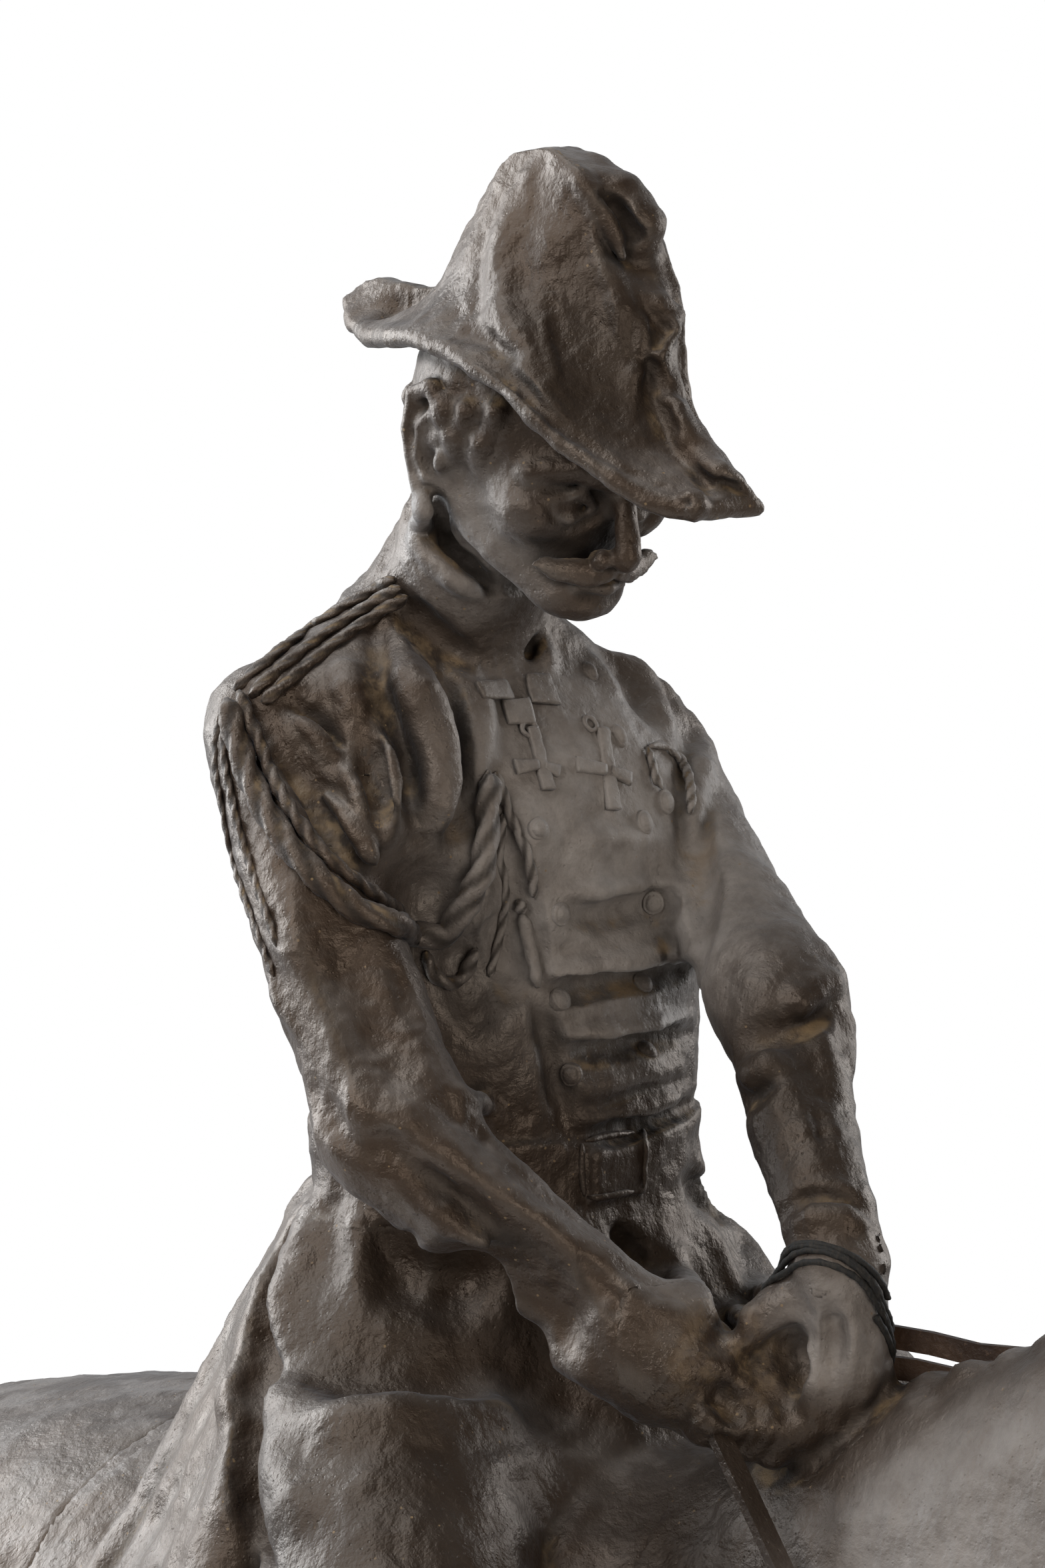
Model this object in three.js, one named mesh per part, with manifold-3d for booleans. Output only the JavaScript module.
import * as THREE from "three";
import { triTable } from "three/addons/objects/MarchingCubes.js";
import { mergeVertices } from "three/addons/utils/BufferGeometryUtils.js";
import Module from "manifold-3d";

// Equestrian statuette in bronze: a rider in a cocked hat and a tunic sits with crossed hands on a standing horse.
// Millimetres. +X is the way the horse faces, +Y is its left side and +Z is up. The origin is the middle of the
// plinth's underside. The figure is drawn at FIGURE_HEIGHT_DRAWN, hooves on z = 0, and scaled to FIGURE_HEIGHT.

// Driving dimensions
const FIGURE_HEIGHT = 625;
const PLINTH_HEIGHT = 25;
const PLINTH_MARGIN_ENDS = 42;
const PLINTH_MARGIN_SIDES = 34;
const PLINTH_CORNER_RADIUS = 22;
const PLINTH_CHAMFER = 3;
const REIN_WIDTH = 4;
const REIN_THICKNESS = 1.2;
const WRIST_CORD_DIAMETER = 1.3;
const WRIST_CORD_TURNS = 3;
const WHIP_WIDTH = 3.6;
const WHIP_THICKNESS = 2;
const CLEARANCE = 0.3;

// Fineness of the figure's surface
const FIGURE_HEIGHT_DRAWN = 625;
const GRID_STEP = 2.3;
const BLOCK_CELLS = 6;
const FIGURE_TRIANGLES = 7300;
const RIDER_CARE = 5;
const HAT_CARE = 14;
const HORSE_HEAD_CARE = 2.5;
const scale = FIGURE_HEIGHT / FIGURE_HEIGHT_DRAWN;

const wasm = await Module();
wasm.setup();

// Small vector helpers
const add = (a, b, t = 1) => [a[0] + b[0] * t, a[1] + b[1] * t, a[2] + b[2] * t];
const dot = (a, b) => a[0] * b[0] + a[1] * b[1] + a[2] * b[2];
const cross = (a, b) => [a[1] * b[2] - a[2] * b[1], a[2] * b[0] - a[0] * b[2], a[0] * b[1] - a[1] * b[0]];
const unit = (a) => {
  const size = Math.hypot(...a) || 1;
  return [a[0] / size, a[1] / size, a[2] / size];
};
const clamp = (value, low, high) => Math.min(high, Math.max(low, value));
const mirror = (point) => [point[0], -point[1], ...point.slice(2)];

// Forms: each has at(x, y, z), the distance to its surface, negative inside, and round, the size of its fillet.
function form(at, round = 3, cut = false) {
  return { at, round, cut };
}

// Two distances joined with a fillet
function fillet(a, b, round) {
  const overlap = Math.max(round - Math.abs(a - b), 0);
  return Math.min(a, b) - (overlap * overlap) / (4 * Math.max(round, 1e-6));
}

// Tapered round bars end to end through points [x, y, z, radius]
function limb(points, round = 3) {
  const bars = points.slice(1).map((b, i) => {
    const a = points[i];
    const way = [b[0] - a[0], b[1] - a[1], b[2] - a[2]];
    return { a, way, size: dot(way, way) || 1e-6, swell: b[3] - a[3] };
  });
  return form((x, y, z) => {
    let best = 1e3;
    for (const { a, way, size, swell } of bars) {
      let dx = x - a[0];
      let dy = y - a[1];
      let dz = z - a[2];
      const t = clamp((dx * way[0] + dy * way[1] + dz * way[2]) / size, 0, 1);
      dx -= way[0] * t;
      dy -= way[1] * t;
      dz -= way[2] * t;
      best = Math.min(best, Math.sqrt(dx * dx + dy * dy + dz * dz) - a[3] - swell * t);
    }
    return best;
  }, round);
}

// A local frame: forward, left and up directions at a point, from turns in degrees
function frame(origin, yaw = 0, pitch = 0) {
  const [y, p] = [yaw, pitch].map(THREE.MathUtils.degToRad);
  const forward = [Math.cos(p) * Math.cos(y), Math.cos(p) * Math.sin(y), -Math.sin(p)];
  const left = [-Math.sin(y), Math.cos(y), 0];
  return { origin, forward, left, up: cross(forward, left) };
}
function inFrame(f, x, y, z) {
  const q = [x - f.origin[0], y - f.origin[1], z - f.origin[2]];
  return [dot(q, f.forward), dot(q, f.left), dot(q, f.up)];
}
function place(f, s, l, h) {
  return add(add(add(f.origin, f.forward, s), f.left, l), f.up, h);
}

// An egg: an ellipsoid with its radii along a frame's forward, left and up
function egg(f, radii, round = 3, cut = false) {
  const at = (x, y, z) => {
    const q = inFrame(f, x, y, z);
    const size = Math.hypot(q[0] / radii[0], q[1] / radii[1], q[2] / radii[2]);
    if (size < 1e-4) return -Math.min(...radii);
    return (size * (size - 1)) / Math.hypot(q[0] / radii[0] ** 2, q[1] / radii[1] ** 2, q[2] / radii[2] ** 2);
  };
  return form(at, round, cut);
}

// A slab with rounded edges: half sizes along a frame's forward, left and up
function slab(f, half, edge = 1, round = 2) {
  const at = (x, y, z) => {
    const q = inFrame(f, x, y, z).map((v, i) => Math.abs(v) - half[i] + edge);
    const out = Math.hypot(Math.max(q[0], 0), Math.max(q[1], 0), Math.max(q[2], 0));
    return out + Math.min(Math.max(...q), 0) - edge;
  };
  return form(at, round);
}

// Smooth values between stations: each row starts with its place along the axis
function between(rows, t) {
  const last = rows.length - 1;
  if (t <= rows[0][0]) return rows[0];
  if (t >= rows[last][0]) return rows[last];
  let i = 0;
  while (rows[i + 1][0] < t) i += 1;
  const [p0, p1, p2, p3] = [rows[Math.max(i - 1, 0)], rows[i], rows[i + 1], rows[Math.min(i + 2, last)]];
  const span = p2[0] - p1[0];
  const u = (t - p1[0]) / span;
  return p1.map((value, c) => {
    const before = p1[0] > p0[0] ? (p2[c] - p0[c]) / (p2[0] - p0[0]) : (p2[c] - p1[c]) / span;
    const after = p3[0] > p2[0] ? (p3[c] - p1[c]) / (p3[0] - p1[0]) : (p2[c] - p1[c]) / span;
    const a = value * (2 * u ** 3 - 3 * u ** 2 + 1) + before * span * (u ** 3 - 2 * u ** 2 + u);
    return a + p2[c] * (3 * u ** 2 - 2 * u ** 3) + after * span * (u ** 3 - u ** 2);
  });
}

// A trunk along a frame's forward: rows [place, left offset, up offset, half width, half height, twist]
function trunk(f, rows, power = 2.2, round = 8) {
  const [first, last] = [rows[0][0], rows[rows.length - 1][0]];
  return form((x, y, z) => {
    const [s, l, h] = inFrame(f, x, y, z);
    const [, side, rise, wide, high, twist = 0] = between(rows, s);
    const turn = THREE.MathUtils.degToRad(twist);
    const a = Math.abs((l - side) * Math.cos(turn) - (h - rise) * Math.sin(turn)) / wide;
    const b = Math.abs((l - side) * Math.sin(turn) + (h - rise) * Math.cos(turn)) / high;
    const size = Math.max((a ** power + b ** power) ** (1 / power), 1e-4);
    const slope = Math.hypot(a ** (power - 1) / wide, b ** (power - 1) / high) * size ** (1 - power);
    const skin = (size - 1) / Math.max(slope, 1e-4);
    const end = Math.max(first - s, s - last);
    return Math.hypot(Math.max(skin, 0), Math.max(end, 0)) + Math.min(Math.max(skin, end), 0);
  }, round);
}

// A layer of a thickness on a form, within a region
function layer(inner, thickness, region, round = 2) {
  return form((x, y, z) => Math.max(inner.at(x, y, z) - thickness, region.at(x, y, z)), round);
}

// Forms joined in order into one form
function joined(parts, round = 4) {
  return {
    round,
    cut: false,
    near(x, y, z, reach) {
      const values = parts.map((part) => part.at(x, y, z));
      const best = values.reduce((low, value, i) => (parts[i].cut ? low : Math.min(low, value)), 1e3);
      const kept = parts.filter((part, i) => values[i] < (part.cut ? 0 : best) + 2 * reach + part.round);
      return joined(kept.map((part) => (part.near ? part.near(x, y, z, reach) : part)), round);
    },
    at(x, y, z) {
      let value = 1e3;
      for (const part of parts) {
        const other = part.at(x, y, z);
        value = part.cut ? -fillet(-value, other, part.round) : fillet(value, other, part.round);
      }
      return value;
    },
  };
}

// The surface of a form as a closed mesh of small triangles, by marching cubes over the blocks that it passes
function surface(shape, low, high) {
  const counts = [0, 1, 2].map((i) => Math.ceil((high[i] - low[i]) / GRID_STEP / BLOCK_CELLS) * BLOCK_CELLS);
  const [nx, ny, nz] = counts.map((n) => n + 1);
  const values = new Float32Array(nx * ny * nz).fill(1);
  const done = new Uint8Array(nx * ny * nz);
  const index = (i, j, k) => i + nx * (j + ny * k);
  const half = (BLOCK_CELLS * GRID_STEP) / 2;
  const reach = half * Math.sqrt(3);
  const least = 0.18 * GRID_STEP;
  const blocks = [];
  for (let k = 0; k < nz - 1; k += BLOCK_CELLS) {
    for (let j = 0; j < ny - 1; j += BLOCK_CELLS) {
      for (let i = 0; i < nx - 1; i += BLOCK_CELLS) {
        const c = [i, j, k].map((n, axis) => low[axis] + n * GRID_STEP + half);
        const local = shape.near(...c, reach * 1.5);
        if (Math.abs(local.at(...c)) > reach * 1.5) continue;
        blocks.push([i, j, k]);
        for (let kk = k; kk <= k + BLOCK_CELLS; kk += 1) {
          for (let jj = j; jj <= j + BLOCK_CELLS; jj += 1) {
            for (let ii = i; ii <= i + BLOCK_CELLS; ii += 1) {
              const at = index(ii, jj, kk);
              if (done[at]) continue;
              done[at] = 1;
              const value = local.at(low[0] + ii * GRID_STEP, low[1] + jj * GRID_STEP, low[2] + kk * GRID_STEP);
              values[at] = Math.abs(value) < least ? Math.sign(value || 1) * least : value;
            }
          }
        }
      }
    }
  }
  const corners = [[0, 0, 0], [1, 0, 0], [1, 1, 0], [0, 1, 0], [0, 0, 1], [1, 0, 1], [1, 1, 1], [0, 1, 1]];
  const edges = [[0, 1], [1, 2], [2, 3], [3, 0], [4, 5], [5, 6], [6, 7], [7, 4],
    [0, 4], [1, 5], [2, 6], [3, 7]];
  const points = [];
  const faces = [];
  const made = new Map();
  const total = nx * ny * nz;
  const vertex = (a, b, va, vb, ia, ib) => {
    const key = Math.min(ia, ib) * total + Math.max(ia, ib);
    if (!made.has(key)) {
      made.set(key, points.length);
      const t = va / (va - vb);
      points.push([0, 1, 2].map((i) => low[i] + (a[i] + (b[i] - a[i]) * t) * GRID_STEP));
    }
    return made.get(key);
  };
  for (const [bi, bj, bk] of blocks) {
    for (let k = bk; k < bk + BLOCK_CELLS; k += 1) {
      for (let j = bj; j < bj + BLOCK_CELLS; j += 1) {
        for (let i = bi; i < bi + BLOCK_CELLS; i += 1) {
          const cell = corners.map((c) => [i + c[0], j + c[1], k + c[2]]);
          const ids = cell.map((c) => index(...c));
          let code = 0;
          ids.forEach((id, n) => { code += values[id] < 0 ? 2 ** n : 0; });
          if (code === 0 || code === 255) continue;
          const row = triTable.slice(code * 16, code * 16 + 16);
          for (let n = 0; row[n] >= 0; n += 3) {
            faces.push([0, 1, 2].map((step) => {
              const [p, q] = edges[row[n + step]];
              return vertex(cell[p], cell[q], values[ids[p]], values[ids[q]], ids[p], ids[q]);
            }));
          }
        }
      }
    }
  }
  return largestShell(points, faces);
}

// The largest connected shell of a mesh, with its faces out
function largestShell(points, faces) {
  const parent = points.map((_, i) => i);
  const root = (i) => {
    while (parent[i] !== i) {
      parent[i] = parent[parent[i]];
      i = parent[i];
    }
    return i;
  };
  for (const [a, b, c] of faces) {
    parent[root(a)] = root(b);
    parent[root(b)] = root(c);
  }
  const tally = new Map();
  for (const face of faces) tally.set(root(face[0]), (tally.get(root(face[0])) ?? 0) + 1);
  const main = [...tally.entries()].sort((a, b) => b[1] - a[1])[0][0];
  const kept = faces.filter((face) => root(face[0]) === main);
  const volume = kept.reduce((sum, f) => sum + dot(points[f[0]], cross(points[f[1]], points[f[2]])), 0);
  return { points, faces: volume < 0 ? kept.map(([a, b, c]) => [a, c, b]) : kept };
}

// Fewer triangles for the same form: edges are closed up where that moves the surface least. A quadric is ten
// numbers, and the care that a place gets weighs its error up.
function simplified({ points, faces }, target, care) {
  const position = points.map((p) => [...p]);
  const corners = faces.map((face) => [...face]);
  const around = points.map(() => []);
  const quadrics = points.map(() => new Float64Array(10));
  const stamp = new Uint32Array(points.length);
  const seen = new Uint32Array(points.length);
  let look = 0;
  const normalOf = (a, b, c) => {
    const [ux, uy, uz] = [b[0] - a[0], b[1] - a[1], b[2] - a[2]];
    const [vx, vy, vz] = [c[0] - a[0], c[1] - a[1], c[2] - a[2]];
    return [uy * vz - uz * vy, uz * vx - ux * vz, ux * vy - uy * vx];
  };
  corners.forEach((face, f) => {
    const raw = normalOf(position[face[0]], position[face[1]], position[face[2]]);
    const n = unit(raw);
    const d = -dot(n, position[face[0]]);
    const weight = Math.hypot(...raw) * care(position[face[0]]);
    const row = [n[0] * n[0], n[0] * n[1], n[0] * n[2], n[0] * d, n[1] * n[1], n[1] * n[2], n[1] * d,
      n[2] * n[2], n[2] * d, d * d];
    for (const v of face) {
      around[v].push(f);
      for (let i = 0; i < 10; i += 1) quadrics[v][i] += row[i] * weight;
    }
  });
  const error = (q, x, y, z) => q[0] * x * x + 2 * q[1] * x * y + 2 * q[2] * x * z + 2 * q[3] * x + q[4] * y * y
    + 2 * q[5] * y * z + 2 * q[6] * y + q[7] * z * z + 2 * q[8] * z + q[9];
  const best = (q, a, b) => {
    const [xx, xy, xz, x1, yy, yz, y1, zz, z1] = q;
    const [cx, cy, cz] = [yy * zz - yz * yz, yz * xz - xy * zz, xy * yz - yy * xz];
    const det = xx * cx + xy * cy + xz * cz;
    const middle = [(a[0] + b[0]) / 2, (a[1] + b[1]) / 2, (a[2] + b[2]) / 2];
    if (Math.abs(det) > 1e-7 * (xx + yy + zz) ** 3) {
      const to = [
        -(cx * x1 + cy * y1 + cz * z1) / det,
        -(cy * x1 + (xx * zz - xz * xz) * y1 + (xy * xz - xx * yz) * z1) / det,
        -(cz * x1 + (xy * xz - xx * yz) * y1 + (xx * yy - xy * xy) * z1) / det,
      ];
      const size = Math.hypot(a[0] - b[0], a[1] - b[1], a[2] - b[2]);
      if (Math.hypot(to[0] - middle[0], to[1] - middle[1], to[2] - middle[2]) < 2 * size) return to;
    }
    return [a, b, middle].reduce((low, p) => (error(q, ...p) < error(q, ...low) ? p : low));
  };
  const heap = [];
  const push = (item) => {
    let i = heap.length;
    heap.push(item);
    while (i > 0) {
      const up = (i - 1) >> 1;
      if (heap[up].cost <= item.cost) break;
      heap[i] = heap[up];
      i = up;
    }
    heap[i] = item;
  };
  const pop = () => {
    const top = heap[0];
    const last = heap.pop();
    const size = heap.length;
    if (!size) return top;
    let i = 0;
    for (;;) {
      let low = 2 * i + 1;
      if (low >= size) break;
      if (low + 1 < size && heap[low + 1].cost < heap[low].cost) low += 1;
      if (heap[low].cost >= last.cost) break;
      heap[i] = heap[low];
      i = low;
    }
    heap[i] = last;
    return top;
  };
  const sum = new Float64Array(10);
  const offer = (a, b) => {
    const [qa, qb, pa, pb] = [quadrics[a], quadrics[b], position[a], position[b]];
    for (let i = 0; i < 10; i += 1) sum[i] = qa[i] + qb[i];
    const to = best(sum, pa, pb);
    const size = Math.hypot(pa[0] - pb[0], pa[1] - pb[1], pa[2] - pb[2]);
    const cost = Math.max(error(sum, ...to), 0) + 1e-5 * size ** 3;
    push({ a, b, to, cost, sa: stamp[a], sb: stamp[b] });
  };
  const ring = (v) => {
    look += 1;
    const out = [];
    for (const f of around[v]) {
      for (const w of corners[f]) {
        if (w !== v && seen[w] !== look) {
          seen[w] = look;
          out.push(w);
        }
      }
    }
    return out;
  };
  const plumpness = (normal, [a, b, c]) => {
    const sides = [[a, b], [b, c], [c, a]].map(
      ([p, q]) => (p[0] - q[0]) ** 2 + (p[1] - q[1]) ** 2 + (p[2] - q[2]) ** 2);
    return Math.hypot(...normal) / Math.max(...sides);
  };
  const turns = (v, other, to) => {
    for (const f of around[v]) {
      if (corners[f].includes(other)) continue;
      const now = corners[f].map((w) => position[w]);
      const then = corners[f].map((w) => (w === v ? to : position[w]));
      const [before, after] = [normalOf(...now), normalOf(...then)];
      if (dot(before, after) < 0.3 * Math.hypot(...before) * Math.hypot(...after)) return true;
      if (plumpness(after, then) < Math.min(0.1, plumpness(before, now))) return true;
    }
    return false;
  };
  for (let v = 0; v < points.length; v += 1) for (const w of ring(v)) if (v < w) offer(v, w);
  let count = corners.length;
  while (count > target && heap.length) {
    const { a, b, to, sa, sb } = pop();
    if (stamp[a] !== sa || stamp[b] !== sb) continue;
    const rb = ring(b);
    ring(a);
    let shared = 0;
    for (const w of rb) if (seen[w] === look) shared += 1;
    if (shared !== 2 || turns(a, b, to) || turns(b, a, to)) continue;
    position[a] = to;
    for (let i = 0; i < 10; i += 1) quadrics[a][i] += quadrics[b][i];
    for (const f of around[b]) {
      if (corners[f].includes(a)) {
        count -= 1;
        for (const v of corners[f]) if (v !== b) around[v] = around[v].filter((g) => g !== f);
        corners[f] = null;
      } else {
        corners[f] = corners[f].map((v) => (v === b ? a : v));
        around[a].push(f);
      }
    }
    around[b] = [];
    stamp[a] += 1;
    stamp[b] += 1;
    for (const w of ring(a)) offer(a, w);
  }
  return { points: position, faces: corners.filter((face) => face) };
}

// The horse, hooves on z = 0
const level = frame([0, 0, 0]);
const barrelRow = ([x, top, bottom, wide]) => [x, 0, (top + bottom) / 2, wide, (top - bottom) / 2];
const barrel = trunk(level, [
  [-226, 328, 296, 18], [-212, 342, 275, 42], [-186, 347, 248, 60], [-150, 357, 228, 67],
  [-108, 367.5, 214, 69], [-66, 375.5, 203, 72], [-20, 375, 198, 73], [22, 374, 200, 70], [60, 388, 202, 64], [86, 388, 205, 59],
  [120, 362, 214, 53], [148, 335, 240, 42], [158, 318, 262, 26],
].map(barrelRow), 2.2, 14);

const NECK = frame([95, 0, 330], 0, -38.9);
const neckRow = ([s, top, bottom, wide]) => [s, 0, (top + bottom) / 2, wide, (top - bottom) / 2];
const horseNeck = trunk(NECK, [
  [0, 62, -58, 40], [30, 53, -46, 36], [81, 41.5, -40, 27], [112, 33, -37, 23], [158, 29, -33, 19.5],
  [202, 27, -30, 17.5], [229, 17, -24, 14],
].map(neckRow), 2, 16);

const HEAD_PITCH = 62;
const HEAD = frame([262, 0, 470], 0, HEAD_PITCH);
const horseHead = joined([
  trunk(HEAD, [
    [-10, 12, -12, 11], [10, 20, -28, 16], [35, 21, -39, 19], [60, 19, -35, 16.5], [85, 16.5, -23, 12.5],
    [110, 15, -17, 11], [130, 15, -18, 12], [143, 8, -14, 9],
  ].map(neckRow), 2.3, 8),
  ...[-1, 1].flatMap((side) => [
    limb([[...place(HEAD, 0, 11 * side, 14), 5.5], [...place(HEAD, -16, 13 * side, 22), 4.6],
      [...place(HEAD, -30, 12 * side, 20), 1.6]], 4),
    egg(frame(place(HEAD, 36, 16.5 * side, 9), 0, HEAD_PITCH), [6, 4, 4], 3),
    limb([[...place(HEAD, 28, 14 * side, 15), 3], [...place(HEAD, 46, 14 * side, 12), 2.5]], 4),
    limb([[...place(HEAD, 50, 14 * side, -2), 3.2], [...place(HEAD, 92, 10.5 * side, 0), 2]], 4),
    egg(frame(place(HEAD, 134, 10 * side, 5), 0, HEAD_PITCH), [4, 3, 3], 2, true),
  ]),
  limb([[...place(HEAD, 8, 0, 22), 6], [...place(HEAD, 34, 1, 24), 3]], 5),
], 12);

// A leg from its joints, [x, y, z, radius], with the hoof as the last two
const foreJoints = [[116, 38, 292, 33], [103, 41, 250, 27], [94, 40, 222, 21], [100, 37, 170, 15],
  [107, 34, 124, 12.8],
  [109, 33, 110, 11], [111, 33, 80, 8.4], [112, 32, 50, 8.8], [112, 32, 37, 10.4], [116, 32, 22, 9.2]];
const hindJoints = [[-156, 36, 296, 41], [-130, 45, 258, 33], [-146, 46, 208, 23], [-176, 41, 162, 14.5],
  [-194, 38, 142, 13], [-193, 37, 118, 10.4], [-190, 36, 80, 9], [-186, 36, 52, 9.6], [-184, 36, 40, 11],
  [-179, 36, 23, 9.6]];
const HOOF_LENGTH = 15;
function leg(joints, side, step) {
  const lower = (z) => clamp((240 - z) / 110, 0, 1);
  const placed = joints.map(([x, y, z, r]) => [x + step * lower(z), y * side, z, r]);
  const [x, y] = placed[placed.length - 1];
  return joined([
    limb(placed, 10),
    limb([[x + 4, y, 13, 12], [x + 7, y, 0, HOOF_LENGTH]], 4),
  ], 16);
}
const LEGS = [[foreJoints, 1, 0], [foreJoints, -1, -18], [hindJoints, 1, -16], [hindJoints, -1, 6]];
const tail = limb([[-218, 0, 340, 13], [-240, 0, 322, 14], [-253, 0, 276, 17], [-253, 1, 205, 17.5],
  [-248, 3, 145, 13], [-244, 4, 98, 5]], 8);

// The saddle and its cloth are layers on the barrel
const saddle = joined([
  layer(barrel, 3, slab(frame([22, 0, 335]), [66, 90, 58], 14)),
  layer(barrel, 6.5, slab(frame([40, 0, 325], 0, 8), [33, 90, 54], 12)),
  layer(barrel, 2, slab(frame([52, 0, 250]), [7, 90, 80], 2)),
  limb([[-16, -30, 384, 8], [-28, 0, 391, 9], [-16, 30, 384, 8]], 6),
  limb([[66, -14, 388, 7], [70, 0, 396, 7], [66, 14, 388, 7]], 6),
], 3);

// The bridle: cheek straps, browband, noseband, throat strap and the rings of the bit
const STRAP = 2;
const onHead = (s, l, h, r = STRAP) => [...place(HEAD, s, l, h), r];
const bridle = [-1, 1].flatMap((side) => [
  limb([onHead(6, 16 * side, 2), onHead(60, 16.5 * side, -6), onHead(118, 11.5 * side, -6)], 1),
  limb([onHead(12, 0, 21), onHead(8, 15 * side, 10)], 1),
  limb([onHead(82, 0, 17), onHead(82, 13 * side, -2), onHead(84, 0, -23)], 1),
  limb([onHead(10, 16 * side, -4), onHead(26, 0, -36)], 1),
  egg(frame(place(HEAD, 121, 12.5 * side, -8), 0, HEAD_PITCH), [5, 2.4, 5], 1),
]);
const horse = joined([
  barrel,
  horseNeck,
  horseHead,
  egg(frame([-150, 0, 292]), [58, 63, 48], 16),
  egg(frame([118, 0, 288]), [44, 47, 52], 20),
  ...LEGS.map((joints) => leg(...joints)),
  tail,
  ...bridle,
], 3);

// The rider
const upright = frame([0, 0, 0], 0, -90);
const bodyRow = ([z, x, y, breadth, depth, twist]) => [z, y, -x, breadth, depth, twist];
const torso = trunk(upright, [
  [431, 30, 0, 36.5, 28.5, 2], [446, 30, 0, 37, 29, 4], [462, 30, -1, 38.5, 30.5, 7], [482, 29, -2, 40, 32, 10],
  [500, 28, -4, 42, 32, 12], [512, 27, -5, 41, 30, 12], [524, 25, -8, 35, 25, 12], [534, 24, -11, 26, 19, 12],
  [544, 27, -13, 18, 15, 10],
].map(bodyRow), 2.3, 8);
const skirt = trunk(upright, [
  [384, 36, 0, 55, 47, 0], [398, 33, 0, 51, 43, 0], [412, 31, 0, 45.5, 37.5, 0], [425, 30, 0, 40.5, 32.5, 0],
  [436, 30, 0, 37.5, 29.5, 0],
].map(bodyRow), 2.3, 3);
const rightArm = joined([
  limb([[24, -22, 532, 12.4], [20.5, -45.5, 520.5, 14.8], [42, -54, 488, 13], [64, -58, 457, 12.6]], 8),
  limb([[64, -58, 456, 12.2], [80, -46, 437, 11.6], [97, -33, 421, 10.4], [103, -29, 417, 10.8]], 6),
], 6);
const leftArm = joined([
  limb([[29, 5, 530, 12], [35.5, 30.5, 510, 13.4], [61.5, 23.4, 490, 11.6], [90, 11, 474, 11.3]], 8),
  limb([[90, 11, 474, 11.1], [107.8, -1.2, 455, 9.4], [123.4, -10.6, 439, 8], [126.3, -11.7, 434, 7.8]], 6),
], 6);
const rightHand = joined([
  limb([[102, -29, 417, 8], [112, -22.5, 411, 9]], 5),
  ...[0, 1, 2, 3].map((n) => limb([[118 - 2 * n, -15 - 4 * n, 412 - 1.5 * n, 3.6],
    [123 - 2 * n, -16 - 4 * n, 404 - n, 3.6], [115 - 2 * n, -19 - 3 * n, 399 - n, 3.4]], 2)),
], 3);
const leftHand = joined([
  limb([[127, -10.5, 432, 7.6], [127, -11.5, 422, 8.6], [128, -11, 414, 8.4]], 5),
  ...[0, 1, 2, 3].map((n) => limb([[131, -4 - 4.4 * n, 413, 3.6], [129, -5 - 4.2 * n, 404, 3.6],
    [121, -7 - 4 * n, 401, 3.4]], 2)),
  limb([[120, -17, 429, 4.2], [112, -24, 421, 3.8], [106, -27, 415, 3.2]], 3),
], 3);
const thigh = [[22, 24, 402, 27], [60, 54, 378, 25], [96, 79, 346, 20]];
const shin = [[96, 79, 346, 19], [88, 84, 306, 17.5], [74, 86, 264, 13], [66, 87, 240, 11.5]];
const foot = [[66, 87, 236, 11], [86, 90, 228, 10], [104, 93, 224, 8]];
const stirrupBow = [[84, 86, 264, 2.2], [86, 78.5, 248, 2.2], [88, 79, 219, 2.4], [88, 101, 222, 2.4],
  [86, 98, 248, 2.2], [84, 88, 264, 2.2]];
const stirrupLeather = [[84, 87, 264, 3], [78, 92, 300, 2.8], [70, 84, 330, 3]];
const bothSides = (points, round) => [limb(points, round), limb(points.map(mirror), round)];
const stirrups = [...bothSides(stirrupBow, 1), ...bothSides(stirrupLeather, 2)];
const legs = joined([thigh, shin, foot].flatMap((points) => bothSides(points, 10)), 10);

// The coat's back panels hang in flutes between a rear edge and a front edge on each side
const tailRear = [[5, 22, 430, 4.5], [-6, 32, 402, 4.5], [-18, 43, 368, 5], [-25, 64, 337, 5],
  [-28, 74, 303, 5]];
const tailFront = [[22, 40, 412, 7], [30, 62, 382, 8], [26, 76, 345, 8], [22, 83, 300, 7]];
const TAIL_FLUTES = 5;
const alongPath = (path, t) => between(path.map((p, i) => [i / (path.length - 1), ...p]), t).slice(1);
const tailFlutes = Array.from({ length: TAIL_FLUTES }, (_, n) => {
  const share = n / (TAIL_FLUTES - 1);
  return [0, 0.25, 0.5, 0.75, 1].map((t) => {
    const [rear, fore] = [alongPath(tailRear, t), alongPath(tailFront, t)];
    return rear.map((value, i) => value + (fore[i] - value) * share);
  });
});
const coatTails = joined(tailFlutes.flatMap((points) => bothSides(points, 9)), 8);

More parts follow.
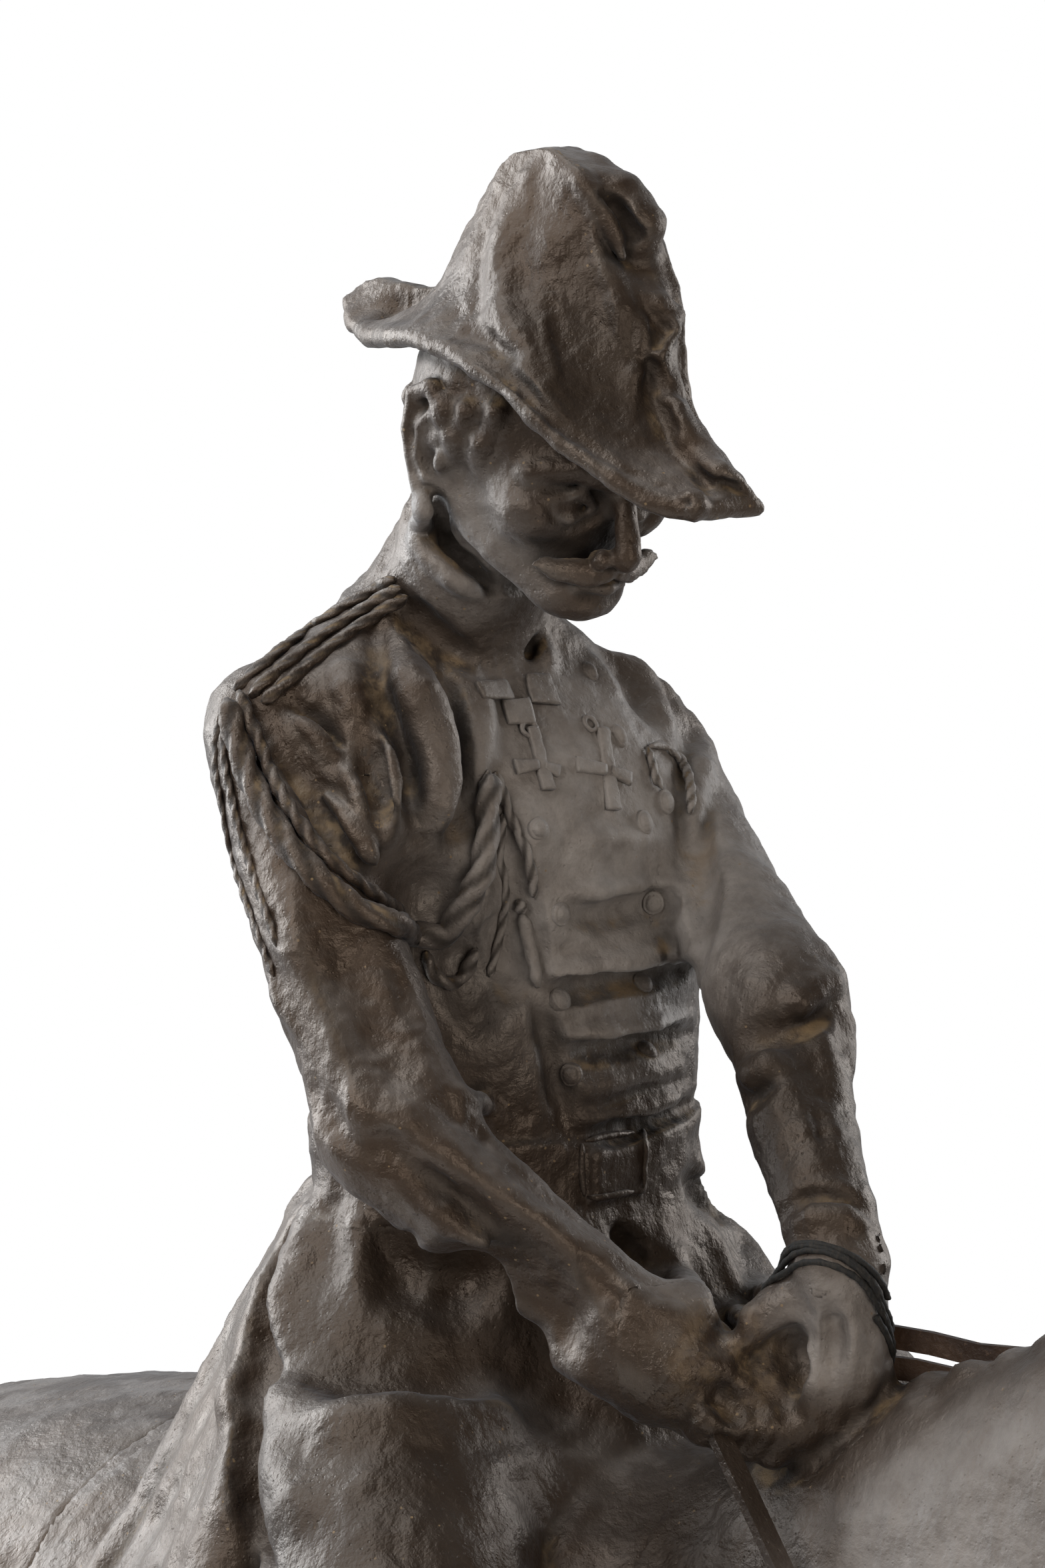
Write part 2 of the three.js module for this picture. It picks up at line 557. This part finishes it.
const COLLAR = frame([29, -14, 541], -3, -52);
const collar = trunk(COLLAR, [[-6, 0, 0, 18, 17], [6, 0, 0, 16, 15], [17, 0, 0, 15.4, 14.6]], 2, 4);
const [SKULL_YAW, SKULL_PITCH] = [-5, 15];
const SKULL = frame([57, -16, 578], SKULL_YAW, SKULL_PITCH);
const riderHead = joined([
  limb([[...place(COLLAR, 2, 0, 0), 14], [...place(SKULL, -9, 0, -17), 14]], 6),
  egg(frame(place(SKULL, -2, 0, 4), SKULL_YAW, SKULL_PITCH), [24.5, 21, 22], 6),
  egg(frame(place(SKULL, 6, 0, -12), SKULL_YAW, SKULL_PITCH), [18, 17, 20.5], 6),
  limb([[...place(SKULL, 8, 0, -25), 10.5], [...place(SKULL, 16.5, 0, -30.5), 6.6]], 8),
  limb([[...place(SKULL, 23, 0, -5), 2.6], [...place(SKULL, 29, 0, -17), 3.4]], 4),
  ...[-1, 1].flatMap((side) => [
    limb([[...place(SKULL, 25, 2 * side, -21.5), 2.4], [...place(SKULL, 21, 10 * side, -23), 2.2],
      [...place(SKULL, 19, 18 * side, -21), 1]], 1.5),
    limb([[...place(SKULL, 22.5, 2 * side, -4), 2.6], [...place(SKULL, 18.5, 12 * side, -4.5), 2.4]], 4),
    egg(frame(place(SKULL, -2, 21 * side, -6), SKULL_YAW, SKULL_PITCH + 10), [6, 3, 10], 2),
  ]),
], 4);

// The cocked hat: rows [place, base, top, half width at the brim, half width at the crest] along its length
const HAT = SKULL;
const hatRows = [
  [-58, 3.5, 8, 5, 2.5], [-52, 2, 11, 8, 3], [-44, 2, 12.5, 11.5, 3.5], [-36, 3, 14.5, 15, 4],
  [-29, 5, 18, 18.5, 5], [-22, 7, 26, 21.5, 7], [-15, 9, 39.5, 23.5, 8], [-11, 10, 45, 24.5, 8.5],
  [0, 11, 48.5, 25.5, 8.5], [8, 10.5, 46.5, 26, 8.5], [15, 9.5, 40, 26, 8], [23, 7.5, 29, 25, 7.5],
  [30, 4.6, 14, 23, 7], [38, 1.2, 6.5, 19.5, 7], [46, -2, 3.5, 15, 7], [50, -2.5, 2.5, 12, 6], [54, -2, 2, 9, 5],
];
const HAT_HOLLOW = 5;
const HAT_LIP = 3.6;
const HAT_FAR_TURN = 30;
const HAT_FAR_LEAST = 0.12;
const hat = form((x, y, z) => {
  const [s, l, h] = inFrame(HAT, x, y, z);
  const [, base, top, wide, crest] = between(hatRows, s);
  const out = Math.abs(l);
  const farShare = clamp((HAT_FAR_TURN - s) / HAT_FAR_TURN, HAT_FAR_LEAST, 1);
  const farBrim = Math.min(wide, crest + 2 + (wide - crest - 2) * farShare);
  const brim = l > 0 ? farBrim : wide;
  const reach = clamp((out - crest) / (brim - crest), 0, 1);
  const rise = Math.max(top - base - HAT_LIP, 0);
  const roof = h - base - HAT_LIP - rise * (1 - reach) ** 2;
  const slope = out > crest ? (2 * rise * (1 - reach)) / (brim - crest) : 0;
  const crown = rise * (1 - reach) ** 2;
  const floor = base + Math.min(HAT_HOLLOW, crown * 0.45) * clamp((brim - 3.5 - out) / 7, 0, 1) - h;
  const ends = Math.max(hatRows[0][0] - s, s - hatRows[hatRows.length - 1][0]);
  const skin = Math.max(roof / Math.hypot(1, slope), floor * 0.85);
  return -fillet(-skin, -Math.max(ends, out - brim), 2);
}, 2);
const trimLine = [[3, 44.5], [8, 43.5], [14, 38.5], [20, 31], [26, 20], [32, 11.5], [40, 6], [48, 3.5]];
const crestTrim = limb(trimLine.map(([s, h], i) => [...place(HAT, s, 1, h), i % 2 ? 2.8 : 3.6]), 2);

// Details that stand on the tunic: each is found on its front by looking back along X at a width and a height
function onFront(shape, y, z) {
  let x = 100;
  for (let n = 0; n < 60; n += 1) x -= shape.at(x, y, z) * 0.8;
  return [x, y, z];
}
const belt = [
  layer(torso, 1.5, slab(frame([30, 0, 441]), [60, 60, 6], 1), 1),
  slab(frame([59.6, -0.3, 440.8], -2), [2.2, 6.8, 6.4], 1, 0.8),
];
const creases = [[479.5, -17, 18], [465, -14, 21], [450.5, -10, 24]].map(([z, from, to]) => limb(
  [0, 0.5, 1].map((t) => [...onFront(torso, from + (to - from) * t, z + 1.5 * Math.sin(3 * t)), 1.7]), 2));
const loopPath = [[20, -59, 527], [31, -62, 512], [43, -62.5, 500], [51.5, -58, 491], [54.5, -50, 487],
  [54, -42, 486], [53, -34, 489], [54, -29, 496], [54, -27, 504], [52, -25, 515]];
const cords = [
  limb(loopPath.map((p) => [...p, 2.5]), 1),
  limb([[52, -25, 515, 1.8], [56.5, -22, 500, 1.8], [58.5, -19.5, 491, 1.8], [57.5, -20.5, 474, 2.2]], 1),
  limb([[26, -25, 541, 2.6], [23, -40, 533.5, 3], [20, -52, 531, 3]], 2),
];
const shoulderCloth = limb([[34, -34, 522, 14], [44, -42, 502, 11.5]], 8);
const swags = [0, 1, 2, 3].map((n) => limb([[34 + 3 * n, -46 + 5.5 * n, 531 - n, 1.4],
  [46 + 1.6 * n, -47 + 4.4 * n, 514, 1.8], [50 + n, -45 + 4.6 * n, 499, 1.4]], 2));
const ledgePath = [[16, -52, 397, 6], [36, -56, 401, 6], [54, -47, 403, 6], [63, -30, 403, 6],
  [70, -12, 402, 5]];
const ledges = bothSides(ledgePath, 3);
const cuffs = [
  limb([[92, -36.5, 424.5, 11.2], [102.5, -29, 417.5, 11.6]], 1),
  limb([[121.2, -8.6, 442, 8.3], [126.4, -11.8, 434.5, 8.7]], 1),
];
const rider = joined([
  joined([torso, skirt, shoulderCloth], 8), legs, ...stirrups, coatTails, ...ledges, collar, rightArm, leftArm,
  ...cuffs, rightHand, leftHand, riderHead, hat, crestTrim, ...belt, ...creases, ...swags, ...cords,
], 3);
const ground = form((x, y, z) => z, 1, true);
const figure = joined([horse, saddle, rider, ground]);

// The figure's solid at its real size
const care = ([x, y, z]) => {
  if (z > 560) return HAT_CARE;
  if (x > 225) return HORSE_HEAD_CARE;
  return z > 395 && x < 145 ? RIDER_CARE : 1;
};
const cast = simplified(surface(figure, [-282, -112, -6], [342, 112, 640]), FIGURE_TRIANGLES, care);

// Meshes and solids
function geometryOf(points, faces) {
  const geometry = new THREE.BufferGeometry();
  geometry.setAttribute("position", new THREE.Float32BufferAttribute(points.flat(), 3));
  geometry.setIndex(faces.flat());
  return geometry;
}
function solidOf(geometry) {
  const bare = geometry.clone();
  bare.deleteAttribute("normal");
  bare.deleteAttribute("uv");
  const merged = mergeVertices(bare, 1e-4);
  return new wasm.Manifold(new wasm.Mesh({
    numProp: 3,
    vertProperties: new Float32Array(merged.attributes.position.array),
    triVerts: new Uint32Array(merged.index.array),
  }));
}
function geometryFrom(solid) {
  const { vertProperties, triVerts } = solid.getMesh();
  const geometry = new THREE.BufferGeometry();
  geometry.setAttribute("position", new THREE.Float32BufferAttribute(vertProperties, 3));
  geometry.setIndex(new THREE.Uint32BufferAttribute(triVerts, 1));
  return geometry;
}

// A strip of rectangular section along points, its width standing as near upright as the path allows
function strip(points, width, thickness, steps) {
  const curve = new THREE.CatmullRomCurve3(points.map((p) => new THREE.Vector3(...p).multiplyScalar(scale)));
  const corners = [[-1, -1], [1, -1], [1, 1], [-1, 1]];
  const rings = Array.from({ length: steps + 1 }, (_, n) => {
    const at = curve.getPointAt(n / steps);
    const way = curve.getTangentAt(n / steps);
    const across = new THREE.Vector3(0, 0, 1).addScaledVector(way, -way.z).normalize();
    const out = new THREE.Vector3().crossVectors(way, across);
    return corners.map(([a, b]) => at.clone().addScaledVector(across, (a * width) / 2)
      .addScaledVector(out, (b * thickness) / 2).toArray());
  });
  const faces = [];
  for (let n = 0; n < steps; n += 1) {
    for (let c = 0; c < 4; c += 1) {
      const [p, q, r, t] = [4 * n + c, 4 * n + ((c + 1) % 4), 4 * n + 4 + ((c + 1) % 4), 4 * n + 4 + c];
      faces.push([p, q, r], [p, r, t]);
    }
  }
  const last = 4 * steps;
  faces.push([0, 2, 1], [0, 3, 2], [last, last + 1, last + 2], [last, last + 2, last + 3]);
  return geometryOf(rings.flat(), faces);
}

// The reins leave the left hand together: one goes on down the left of the neck, the other over the crest to the
// right, and both end at the bit
const REIN_PATHS = {
  rein_left: [[128, -5, 417], [134, -1, 416.5], [146, 5, 414.5], [158, 13, 411], [172, 20.5, 407], [195, 25.5, 401],
    [230, 23.5, 392], [270, 23, 378], [313, 17, 363]],
  rein_right: [[128, -3, 422], [134, 0, 421.6], [146, 3, 420.6], [158, 6.5, 422], [173, 8, 433], [190, 0, 449],
    [203, -14, 450], [217, -24, 428], [240, -25, 402], [272, -23, 380], [313, -17, 363]],
};
const WHIP_PATH = [[112.7, -29.4, 409.9], [137.5, -34, 384.2], [162.3, -38.6, 358.6]];
const REIN_STEPS = 26;
const cordRadius = WRIST_CORD_DIAMETER / 2;
const WRIST = [127, -11, 430.5];
const WRIST_AXIS = [0.46, 0.43, 0.77];
const WRIST_RADIUS = 9.1;

// The wrist cord's turns lie side by side, fused into one ring
function wristRing(clearance) {
  const half = cordRadius * WRIST_CORD_TURNS + clearance;
  const deep = cordRadius + clearance;
  const profile = [[-1, -1], [-1, 1], [1, 1], [1, -1], [-1, -1]].map(
    ([a, b]) => new THREE.Vector2(WRIST_RADIUS * scale + a * deep, b * half));
  const ring = new THREE.LatheGeometry(profile.reverse(), 28);
  const axis = new THREE.Vector3(...unit(WRIST_AXIS));
  const turn = new THREE.Quaternion().setFromUnitVectors(new THREE.Vector3(0, 1, 0), axis);
  return ring.applyQuaternion(turn).translate(...WRIST.map((v) => v * scale));
}

// Buttons and medals are raised on the tunic's front: outlines pushed out along the way that the front faces
const BUTTON_RADIUS = 2.1;
const BUTTON_DROP = 15.2;
const BUTTON_ROWS = [
  [[-17, 504.3], [-15, 489.1], [-13.5, 473.9], [-11.5, 458.7]],
  [[7.9, 529.4], [5.6, 518.7], [6.2, 504.3], [6.2, 489.1], [6.2, 473.9], [6.2, 458.7]],
];
const MEDALS = [{ y: -12.5, z: 516, tall: 4.8, wide: 3.4 }, { y: -2.4, z: 512.5, tall: 6, wide: 4.2 },
  { y: 14.2, z: 509.5, tall: 5.4, wide: 3.4, round: true }];
const RELIEF = 1.4;
const RELIEF_ROOT = 3;
function raised(outline, y, z) {
  const [a, b] = [onFront(torso, y - 1, z), onFront(torso, y + 1, z)];
  const [low, high] = [onFront(torso, y, z - 1), onFront(torso, y, z + 1)];
  const out = unit(cross(add(b, a, -1), add(high, low, -1)));
  const side = unit(cross([0, 0, 1], out));
  const spot = add(onFront(torso, y, z), out, -RELIEF_ROOT);
  const axes = [side, cross(out, side), out].map((v) => new THREE.Vector3(...v));
  const basis = new THREE.Matrix4().makeBasis(...axes);
  const geometry = new THREE.ExtrudeGeometry(new THREE.Shape(outline.map(([u, v]) => new THREE.Vector2(u, v))),
    { depth: RELIEF + RELIEF_ROOT, bevelEnabled: false });
  return geometry.applyMatrix4(basis).translate(...spot).scale(scale, scale, scale);
}
const disc = (wide, tall, sides) => Array.from({ length: sides }, (_, n) => {
  const turn = (2 * Math.PI * (n + 0.5)) / sides;
  return [wide * Math.cos(turn), tall * Math.sin(turn)];
});
// A cross with splayed arms: each quarter turn adds the two corners of an arm and the corner between two arms
const crossOutline = (wide, tall) => [0, 1, 2, 3].flatMap((quarter) => {
  const [cos, sin] = [[1, 0], [0, 1], [-1, 0], [0, -1]][quarter];
  return [[1, -0.4], [1, 0.4], [0.28, 0.28]].map(([u, v]) => [(u * cos - v * sin) * wide, (u * sin + v * cos) * tall]);
});
const reliefs = [
  ...BUTTON_ROWS.flat().map(([y, z]) => raised(disc(BUTTON_RADIUS, BUTTON_RADIUS, 8), y, z)),
  ...MEDALS.map(({ y, z, tall, wide, round }) => raised(
    round ? disc(wide, tall, 10) : crossOutline(wide, tall), y, z)),
];
const small = {
  wrist_cord: wristRing,
  rein_left: (gap) => strip(REIN_PATHS.rein_left, REIN_WIDTH + 2 * gap, REIN_THICKNESS + 2 * gap, REIN_STEPS),
  rein_right: (gap) => strip(REIN_PATHS.rein_right, REIN_WIDTH + 2 * gap, REIN_THICKNESS + 2 * gap, REIN_STEPS),
  riding_whip: (gap) => strip(WHIP_PATH, WHIP_THICKNESS + 2 * gap, WHIP_WIDTH + 2 * gap, 2),
};
let casting = solidOf(geometryOf(cast.points.map((p) => p.map((v) => v * scale)), cast.faces));
for (const relief of reliefs) casting = casting.add(solidOf(relief));
for (const make of Object.values(small)) casting = casting.subtract(solidOf(make(CLEARANCE)));

// The plinth reaches a margin past the hooves, and the figure is moved so that the plinth's middle is the origin
const soles = LEGS.map(([joints, side, step]) => {
  const [x, y] = joints[joints.length - 1];
  return [(x + step + 7) * scale, y * side * scale];
});
const hoof = HOOF_LENGTH * scale;
const [back, front] = [Math.min(...soles.map(([x]) => x)) - hoof, Math.max(...soles.map(([x]) => x)) + hoof];
const plinthLength = front - back + 2 * PLINTH_MARGIN_ENDS;
const plinthWidth = 2 * (Math.max(...soles.map(([, y]) => y)) + hoof + PLINTH_MARGIN_SIDES);
const middle = (front + back) / 2;
function plinthGeometry() {
  const [a, b, r] = [plinthLength / 2 - PLINTH_CHAMFER, plinthWidth / 2 - PLINTH_CHAMFER, PLINTH_CORNER_RADIUS];
  const shape = new THREE.Shape();
  shape.moveTo(-a + r, -b);
  shape.lineTo(a - r, -b);
  shape.absarc(a - r, -b + r, r, -Math.PI / 2, 0);
  shape.lineTo(a, b - r);
  shape.absarc(a - r, b - r, r, 0, Math.PI / 2);
  shape.lineTo(-a + r, b);
  shape.absarc(-a + r, b - r, r, Math.PI / 2, Math.PI);
  shape.lineTo(-a, -b + r);
  shape.absarc(-a + r, -b + r, r, Math.PI, 1.5 * Math.PI);
  const block = new THREE.ExtrudeGeometry(shape, {
    depth: PLINTH_HEIGHT - 2 * PLINTH_CHAMFER,
    bevelThickness: PLINTH_CHAMFER,
    bevelSize: PLINTH_CHAMFER,
    bevelSegments: 1,
    curveSegments: 5,
  });
  return block.translate(0, 0, PLINTH_CHAMFER);
}

const bronze = new THREE.MeshStandardMaterial({ color: 0x3c3430, roughness: 0.42, metalness: 0.85 });
const darkBronze = new THREE.MeshStandardMaterial({ color: 0x322c29, roughness: 0.5, metalness: 0.8 });
const leather = new THREE.MeshStandardMaterial({ color: 0x3a2418, roughness: 0.7, metalness: 0 });
const blackCord = new THREE.MeshStandardMaterial({ color: 0x15110f, roughness: 0.9, metalness: 0 });

const statuette = new THREE.Group();
statuette.position.set(-middle, 0, PLINTH_HEIGHT + CLEARANCE);
function piece(name, geometry, material, parent = statuette) {
  const mesh = new THREE.Mesh(geometry, material);
  mesh.name = name;
  parent.add(mesh);
  return mesh;
}
piece("horse_and_rider", geometryFrom(casting), bronze);
const materials = { wrist_cord: blackCord, rein_left: leather, rein_right: leather, riding_whip: darkBronze };
for (const [name, make] of Object.entries(small)) piece(name, make(0), materials[name]);

const group = new THREE.Group();
piece("plinth", plinthGeometry(), bronze, group);
group.add(statuette);
export default group;
